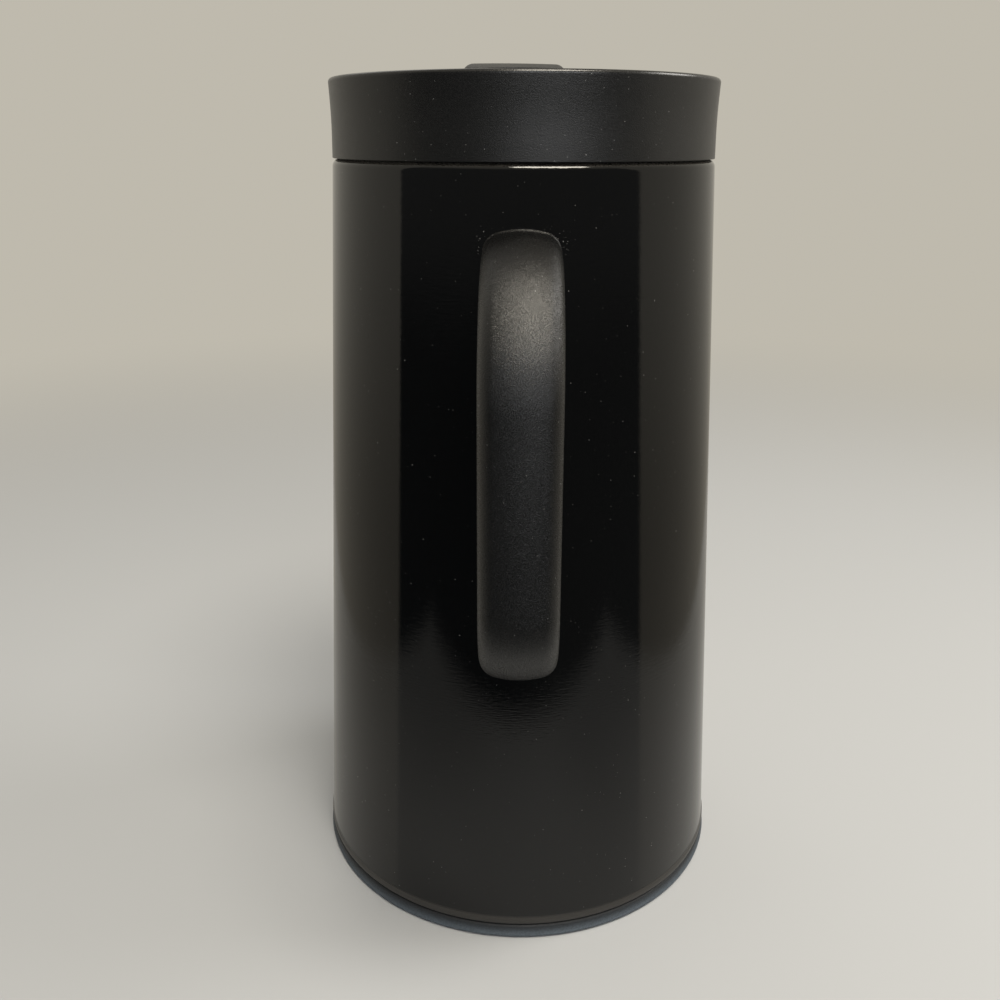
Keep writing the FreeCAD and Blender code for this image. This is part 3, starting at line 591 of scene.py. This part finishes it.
def addLidWall():
    # the lid's outside, from a crisp lower edge up a slightly waisted wall and over the rim to the deck;
    # in the pouring notch the same rows run over a rounded lip instead
    lid = {"foot": 0.05636, "low": 0.23108, "footEdge": 0.00014, "waist": 0.05611, "waistHigh": 0.24185,
           "waistCurve": 0.15, "rim": 0.05656, "high": 0.25246, "rimEdge": 0.0010, "bore": 0.05354,
           "deck": 0.24996, "deckEdge": 0.0010, "deckIn": 0.0522, "under": 0.0550, "behind": 0.0552,
           "behindHigh": 0.2490, "notchHalf": 0.0130, "notchStep": 0.00002, "lipFrom": 0.2486,
           "lipEdge": 0.0012, "around": 420, "notchSteps": 48, "arc": 12, "run": 10}
    corners = [(lid["under"], lid["low"], 0), (lid["foot"], lid["low"], lid["footEdge"]),
               (lid["waist"], lid["waistHigh"], lid["waistCurve"]), (lid["rim"], lid["high"], lid["rimEdge"]),
               (lid["bore"], lid["high"], lid["rimEdge"]), (lid["bore"], lid["deck"], lid["deckEdge"]),
               (lid["deckIn"], lid["deck"], 0)]
    rim = roundedLine(corners, lid["arc"], lid["run"])
    begin = int(np.argmax(rim[:, 1] > lid["lipFrom"]))
    corners = [(*rim[begin], 0), (lid["rim"], lid["deck"], lid["lipEdge"]), (lid["deckIn"], lid["deck"], 0)]
    lip = roundedLine(corners, lid["arc"], lid["run"])
    run = np.concatenate([[0], np.cumsum(np.linalg.norm(np.diff(lip, axis=0), axis=1))])
    share = np.linspace(0, run[-1], len(rim) - begin)
    lowered = rim.copy()
    lowered[begin:] = np.stack([np.interp(share, run, lip[:, 0]), np.interp(share, run, lip[:, 1])], 1)
    back = np.array([(lid["deckIn"], lid["behindHigh"]), (lid["behind"], lid["behindHigh"])])
    rim, lowered = np.concatenate([rim, back]), np.concatenate([lowered, back])
    # angles from the notch's middle: the rim's columns run from one side of the notch round to the other
    rimHalf = np.arcsin(lid["notchHalf"] / rim[:, :1])
    lipHalf = np.arcsin((lid["notchHalf"] - lid["notchStep"]) / lowered[:, :1])
    rimAngle = rimHalf + np.linspace(0, 1, lid["around"]) * (2 * np.pi - 2 * rimHalf)
    lipAngle = np.linspace(-1, 1, lid["notchSteps"]) * lipHalf
    angle = np.concatenate([rimAngle, lipAngle], 1)
    radius = np.concatenate([rim[:, :1] + 0 * rimAngle, lowered[:, :1] + 0 * lipAngle], 1)
    height = np.concatenate([rim[:, 1:] + 0 * rimAngle, lowered[:, 1:] + 0 * lipAngle], 1)
    points = np.stack([radius * np.sin(angle), radius * np.cos(angle), height], 2)
    addPiece("lid_wall", turnedLid(points), "lid", "lid_plastic", closed=True)


cap = {"hinge": 0.0010, "hingeHeight": 0.2528, "barrel": 0.0026, "slot": 0.0058, "slotEnd": 0.0039,
       "low": 0.2502, "hingeHalf": 0.0130, "crownHalf": 0.0158, "noseHalf": 0.0123, "flare": (0.005, 0.020),
       "taper": (0.025, 0.046), "nose": 0.0580, "crown": 0.021, "top": 0.2581, "front": 0.0595,
       "noseTop": 0.2548, "noseEdge": 0.0024, "noseBow": (0.040, 0.056), "corner": 0.0030,
       "edge": 0.0032, "hingeEdge": 0.0008, "edgeGrows": (0.004, 0.016), "edgeMost": 0.7, "underEdge": 0.0003,
       "wall": 0.0018, "room": 0.0017, "roomStart": 0.0054, "roomStep": 0.00004, "shallow": 0.00002,
       "dome": 0.00015, "ribPitch": 0.0018, "ribHigh": 0.0003, "ribs": (0.0464, 0.0554), "ribHalf": 0.0075,
       "ribFade": 0.0008, "pinHole": 0.00135, "pinDepth": 0.0018, "earOver": 0.0006}


def capTop(y):
    # the cap's back is part of a circle through three points: over the hinge, at the crown and over the nose
    places = np.array([(cap["hinge"], cap["hingeHeight"] + cap["barrel"]), (cap["crown"], cap["top"]),
                       (cap["front"], cap["noseTop"])])
    sums = (places ** 2).sum(1)
    middle = np.linalg.solve(2 * (places[1:] - places[0]), sums[1:] - sums[0])
    reach = np.linalg.norm(places[0] - middle)
    return middle[1] + np.sqrt(reach ** 2 - (y - middle[0]) ** 2)


def rounding(past, radius):
    # how far a quarter circle has fallen, past being the distance gone beyond its start
    return radius - np.sqrt(radius ** 2 - np.clip(past, 0, radius) ** 2)


def addCap():
    # sections across the cap, carried from the hinge to the nose: flat crowned back, rounded edges, straight
    # sides and a hollow underneath; thumb ribs are raised on the nose, and the nose follows the lid's rim
    rows = {"rootEnd": 0.0050, "root": 4, "backStart": 0.0060, "backEnd": 0.0450, "back": 60,
            "ribStart": 0.0452, "ribEnd": 0.0549, "rib": 70, "corner": 16}
    columns = {"across": 41, "over": 11, "down": 6, "tuck": 5}
    ending = cap["nose"] - cap["corner"] * (1 - np.sin(np.linspace(0, np.pi / 2, rows["corner"])))
    y = np.concatenate([np.linspace(cap["slotEnd"], rows["rootEnd"], rows["root"]),
                        [cap["roomStart"], cap["roomStart"] + cap["roomStep"]],
                        np.linspace(rows["backStart"], rows["backEnd"], rows["back"]),
                        np.linspace(rows["ribStart"], rows["ribEnd"], rows["rib"]), ending])[:, None]
    wide = cap["hingeHalf"] + (cap["crownHalf"] - cap["hingeHalf"]) * smooth(y, *cap["flare"])
    wide = wide + (cap["noseHalf"] - cap["crownHalf"]) * smooth(y, *cap["taper"])
    wide = wide - rounding(y - cap["nose"] + cap["corner"], cap["corner"])
    top = capTop(y) - rounding(y - cap["nose"] + cap["noseEdge"], cap["noseEdge"])
    low, under = cap["low"], cap["underEdge"]
    edge = cap["hingeEdge"] + (cap["edge"] - cap["hingeEdge"]) * smooth(y, *cap["edgeGrows"])
    edge = np.minimum(edge, cap["edgeMost"] * (top - low))
    inRoom = (y > cap["roomStart"] + cap["roomStep"] / 2) & (y < cap["nose"] - cap["corner"])
    depth = np.where(inRoom, cap["room"], cap["shallow"])
    across = np.linspace(-1, 1, columns["across"])
    over = np.linspace(0, np.pi / 2, columns["over"])[1:]
    down = np.linspace(0, 1, columns["down"])[1:-1]
    tuck = np.linspace(0, np.pi / 2, columns["tuck"])
    backX = (wide - edge) * across
    waves = (1 - np.cos(2 * np.pi * (y - cap["ribs"][0]) / cap["ribPitch"])) / 2
    waves = np.where((y > cap["ribs"][0]) & (y < cap["ribs"][1]), waves, 0)
    faded = smooth(np.abs(backX), cap["ribHalf"] - cap["ribFade"], cap["ribHalf"])
    backZ = top + cap["dome"] * (1 - across ** 2) + cap["ribHigh"] * waves * (1 - faded)
    inner = wide - cap["wall"]
    sideX = np.concatenate([wide - edge * (1 - np.sin(over)), wide + 0 * down,
                            wide - under * (1 - np.cos(tuck)), inner, inner], 1)
    sideZ = np.concatenate([top - edge * (1 - np.cos(over)), (top - edge) * (1 - down) + (low + under) * down,
                            low + under * (1 - np.sin(tuck)) + 0 * y, low + 0 * y, low + depth], 1)
    x = np.concatenate([backX, sideX, -sideX[:, ::-1]], 1)
    z = np.concatenate([backZ, sideZ, sideZ[:, ::-1]], 1)
    fallen = cap["nose"] - np.sqrt(cap["nose"] ** 2 - x ** 2)
    points = np.stack([x, y - fallen * smooth(y, *cap["noseBow"]), z], 2)
    addPiece("cap_back", turnedLid(points), "flip_cap", "lid_plastic", replaced=("flip_cap",),
             finish="flip_cap")


def addCapEar(name, side):
    # one of the two hinge ears: the side view of the barrel and the cap's root, carried across, with a
    # rounded outer edge and a sunk hole where the pin's end shows
    steps = {"barrel": 41, "back": 8, "closing": 8, "under": 6, "edge": 7}
    middle = np.array([cap["hinge"], cap["hingeHeight"]])
    bend = np.linspace(-np.pi / 2, -3 * np.pi / 2, steps["barrel"])
    barrel = middle + cap["barrel"] * np.stack([np.cos(bend), np.sin(bend)], 1)
    front = cap["slotEnd"] + cap["earOver"]
    along = np.linspace(cap["hinge"], front, steps["back"])[1:]
    back = np.stack([along, capTop(along)], 1)
    closing = np.linspace(back[-1], (front, cap["low"]), steps["closing"])[1:]
    under = np.linspace(closing[-1], barrel[0], steps["under"])[1:-1]
    outline = np.concatenate([barrel, back, closing, under])
    around = np.arctan2(outline[:, 1] - middle[1], outline[:, 0] - middle[0])
    hole = middle + cap["pinHole"] * np.stack([np.cos(around), np.sin(around)], 1)
    swing = np.linspace(0, np.pi / 2, steps["edge"])
    edge, outer = cap["hingeEdge"], cap["hingeHalf"]
    shrink = 1 - edge * (1 - np.cos(swing)) / cap["barrel"]
    shrunk = middle + (outline - middle) * shrink[:, None, None]
    rows = np.concatenate([outline[None], shrunk, hole[None], hole[None]])
    places = np.concatenate([[cap["slot"]], outer - edge * (1 - np.sin(swing)),
                             [outer, outer - cap["pinDepth"]]])
    points = np.stack([side * places[:, None] + 0 * rows[:, :, 0], rows[:, :, 0], rows[:, :, 1]], 2)
    addPiece(name, turnedLid(points), "flip_cap", "lid_plastic", finish="flip_cap")


def addPlugButton():
    # a shallow domed button in place of the flat screw plug under the upper arm: its height falls with the
    # radius squared
    button = {"dome": 0.0005, "edge": 0.0002, "pole": 0.0001, "sunk": 0.0003, "steps": 14, "around": 64}
    lower, upper = (np.array(corner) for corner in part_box("upper_screw_plug"))
    middle, reach = (lower + upper) / 2, (upper[0] - lower[0]) / 2
    radius = np.linspace(button["pole"], reach, button["steps"])
    face = lower[2] - button["edge"] - button["dome"] * (1 - (radius / reach) ** 2)
    sunk = lower[2] + button["sunk"]
    line = np.concatenate([np.stack([radius, face], 1), [(reach, sunk), (button["pole"], sunk)]])
    points = spun(line, button["around"]) + np.array([middle[0], middle[1], 0])
    addPiece("plug_button", points, "pitcher", "handle_plastic", replaced=("upper_screw_plug",))


addWall()
addBoot()
print("wall and foot made")
addLidWall()
addCap()
addCapEar("cap_ear_right", 1)
addCapEar("cap_ear_left", -1)
addPlugButton()
print("lid and cap made")
addGrip("palm_grip", 1, "handle_outer_grip")
addGrip("finger_grip", -1, "handle_inner_grip")
print("handle made")


def addStage():
    # a round floor that fades into the backdrop; in gloss only as much of it shows as a table would
    stage = {"radius": 2.6, "rimSteps": 96, "rough": 0.6, "floor": (0.42, 0.43, 0.445, 1),
             "far": (0.52, 0.49, 0.42, 1), "fadeFrom": 0.3, "fadeTo": 1.0}
    # the table that shows in gloss: half its width, its front edge, how soft the edges are, and how much of
    # it shows beside the foot, further out and off to the sides; the falloff from the foot outwards and to
    # the sides is painted shade on the table as the gloss sees it
    table = {"half": 0.233, "front": -0.221, "soft": 0.008, "near": 0.09, "out": 0.25, "most": 0.80,
             "least": 0.47, "middle": 0.03, "side": 0.11, "sideShare": 0.85}
    mesh = bpy.data.meshes.new("floor")
    angle = np.linspace(0, 2 * np.pi, stage["rimSteps"], endpoint=False)
    rim = np.stack([stage["radius"] * np.cos(angle), stage["radius"] * np.sin(angle), 0 * angle], 1)
    mesh.from_pydata(rim.tolist(), [], [list(range(len(rim)))])
    floor = bpy.data.objects.new("floor", mesh)
    scene.collection.objects.link(floor)
    material, tree, surface, where = newFinish("floor_plain")
    surface.inputs["Base Color"].default_value = stage["floor"]
    surface.inputs["Roughness"].default_value = stage["rough"]
    reach = put(tree, "ShaderNodeVectorMath", {0: where}, operation="LENGTH").outputs["Value"]
    fade = remap(tree, reach, stage["fadeFrom"], stage["fadeTo"])
    far = put(tree, "ShaderNodeEmission", {"Color": stage["far"], "Strength": 1.0}).outputs[0]
    mix = put(tree, "ShaderNodeMixShader", {0: fade, 1: surface.outputs[0], 2: far}).outputs[0]
    place = put(tree, "ShaderNodeSeparateXYZ", {0: where}).outputs
    aside = maths(tree, "ABSOLUTE", place[0])
    # painted shade on the table in gloss: less of the floor shows further from the foot and off to the sides
    shown = remap(tree, reach, table["near"], table["out"], table["most"], table["least"])
    sides = remap(tree, aside, table["middle"], table["side"], 1.0, table["sideShare"])
    inFront = remap(tree, place[1], table["front"] - table["soft"], table["front"] + table["soft"])
    within = remap(tree, aside, table["half"] - table["soft"], table["half"] + table["soft"], 1.0, 0.0)
    for share in (sides, inFront, within):
        shown = maths(tree, "MULTIPLY", shown, share)
    hidden = maths(tree, "SUBTRACT", 1.0, shown)
    glossy = put(tree, "ShaderNodeLightPath").outputs["Is Glossy Ray"]
    unseen = maths(tree, "MULTIPLY", glossy, hidden)
    through = put(tree, "ShaderNodeBsdfTransparent").outputs[0]
    seen = put(tree, "ShaderNodeMixShader", {0: unseen, 1: mix, 2: through}).outputs[0]
    tree.links.new(seen, tree.nodes["Material Output"].inputs["Surface"])
    mesh.materials.append(material)
    return stage


def addWorld(stage):
    # seen in gloss: pale walls beside and behind the object, paler upwards, a pale ceiling, and between two
    # bearings in front a dark room that lightens upwards and to the right; the camera sees the plain backdrop
    room = {"leftDark": (0.031, 0.035, 0.038, 1), "rightDark": (0.060, 0.064, 0.066, 1),
            "upperDark": (0.118, 0.12, 0.12, 1), "darkTurn": (-0.3, 0.5), "darkRise": (-0.12, 0.03),
            "left": -1.288, "right": 1.232, "lean": 0.19, "soft": 0.010, "wallHigh": (0.53, 0.50, 0.43, 1),
            "wallLow": (0.315, 0.29, 0.24, 1), "wallRise": (-0.34, 0.04), "ceiling": (0.52, 0.49, 0.42, 1),
            "ceilingRise": (0.50, 0.80)}
    world = bpy.data.worlds.new("room")
    scene.world = world
    world.use_nodes = True
    tree = world.node_tree
    background = tree.nodes["Background"]
    direction = put(tree, "ShaderNodeTexCoord").outputs["Generated"]
    parts = put(tree, "ShaderNodeSeparateXYZ", {0: direction}).outputs
    bearing = maths(tree, "ARCTAN2", parts[0], maths(tree, "MULTIPLY", parts[1], -1.0))
    leaned = maths(tree, "MULTIPLY_ADD", parts[2], room["lean"], bearing)
    dark = blendColour(tree, remap(tree, bearing, *room["darkTurn"]), room["leftDark"], room["rightDark"])
    dark = blendColour(tree, remap(tree, parts[2], *room["darkRise"]), dark, room["upperDark"])
    toLeft = remap(tree, bearing, room["left"] + room["soft"], room["left"] - room["soft"])
    toRight = remap(tree, leaned, room["right"] - room["soft"], room["right"] + room["soft"])
    walls = blendColour(tree, remap(tree, parts[2], *room["wallRise"]), room["wallLow"], room["wallHigh"])
    light = blendColour(tree, maths(tree, "MAXIMUM", toLeft, toRight), dark, walls)
    rays = put(tree, "ShaderNodeLightPath").outputs
    overhead = remap(tree, parts[2], *room["ceilingRise"])
    overhead = maths(tree, "MULTIPLY", overhead, rays["Is Glossy Ray"])
    light = blendColour(tree, overhead, light, room["ceiling"])
    tree.links.new(blendColour(tree, rays["Is Camera Ray"], light, stage["far"]), background.inputs["Color"])


def addLamp(name, place, aim, size, power, colour=(1, 1, 1), spared=None):
    # an oval lamp aimed at a point; the spared piece neither takes nor mirrors its light
    data = bpy.data.lights.new(name, "AREA")
    data.shape = "ELLIPSE"
    data.size, data.size_y = size
    data.energy = power
    data.color = colour
    lamp = bpy.data.objects.new(name, data)
    scene.collection.objects.link(lamp)
    lamp.location = place
    lamp.rotation_euler = (Vector(aim) - Vector(place)).to_track_quat("-Z", "Y").to_euler()
    if spared:
        left = bpy.data.collections.new(name + "_spares")
        left.objects.link(bpy.data.objects[spared])
        left.collection_objects[0].light_linking.link_state = "EXCLUDE"
        lamp.light_linking.receiver_collection = left


def addCamera():
    # found by fitting the lid, seam, wall and base outlines; angles in degrees
    shot = {"place": (0.0, -0.3137, 0.2373), "pitch": 20.23, "yaw": -1.2175, "roll": 0.128, "lens": 35.618}
    pitch, yaw, roll = (math.radians(shot[key]) for key in ("pitch", "yaw", "roll"))
    ahead = Vector((math.sin(yaw) * math.cos(pitch), math.cos(yaw) * math.cos(pitch), -math.sin(pitch)))
    right = Vector((math.cos(yaw), -math.sin(yaw), 0))
    up = right.cross(ahead)
    across = right * math.cos(roll) + up * math.sin(roll)
    over = up * math.cos(roll) - right * math.sin(roll)
    data = bpy.data.cameras.new("camera")
    data.lens = shot["lens"]
    data.sensor_width = 36.0
    data.clip_start = 0.01
    camera = bpy.data.objects.new("camera", data)
    scene.collection.objects.link(camera)
    turn = Matrix((across, over, -ahead)).transposed().to_4x4()
    camera.matrix_world = Matrix.Translation(shot["place"]) @ turn
    scene.camera = camera


stage = addStage()
addWorld(stage)
lamps = [
    {"name": "ceiling_lamp", "place": (0.23, -0.50, 1.30), "aim": (0, 0, 0.12), "size": (0.72, 0.52),
     "power": 17.0, "colour": (1.0, 0.93, 0.80)},
    {"name": "front_panel", "place": (0.32, -1.12, 0.62), "aim": (0, 0, 0.22), "size": (1.15, 0.44),
     "power": 5.2, "colour": (0.98, 0.99, 1.0), "spared": "lacquered_wall"},
    {"name": "right_fill", "place": (1.0, 0.20, 0.85), "aim": (0, 0, 0.10), "size": (0.55, 0.55),
     "power": 6.0, "colour": (1.0, 0.97, 0.92), "spared": "lacquered_wall"},
    {"name": "back_fill", "place": (-0.5, 0.9, 1.2), "aim": (0, 0, 0.12), "size": (0.9, 0.9), "power": 1.2},
]
for lamp in lamps:
    addLamp(**lamp)
addCamera()
scene.view_settings.view_transform = "Standard"
print("stage, lamps and camera set")
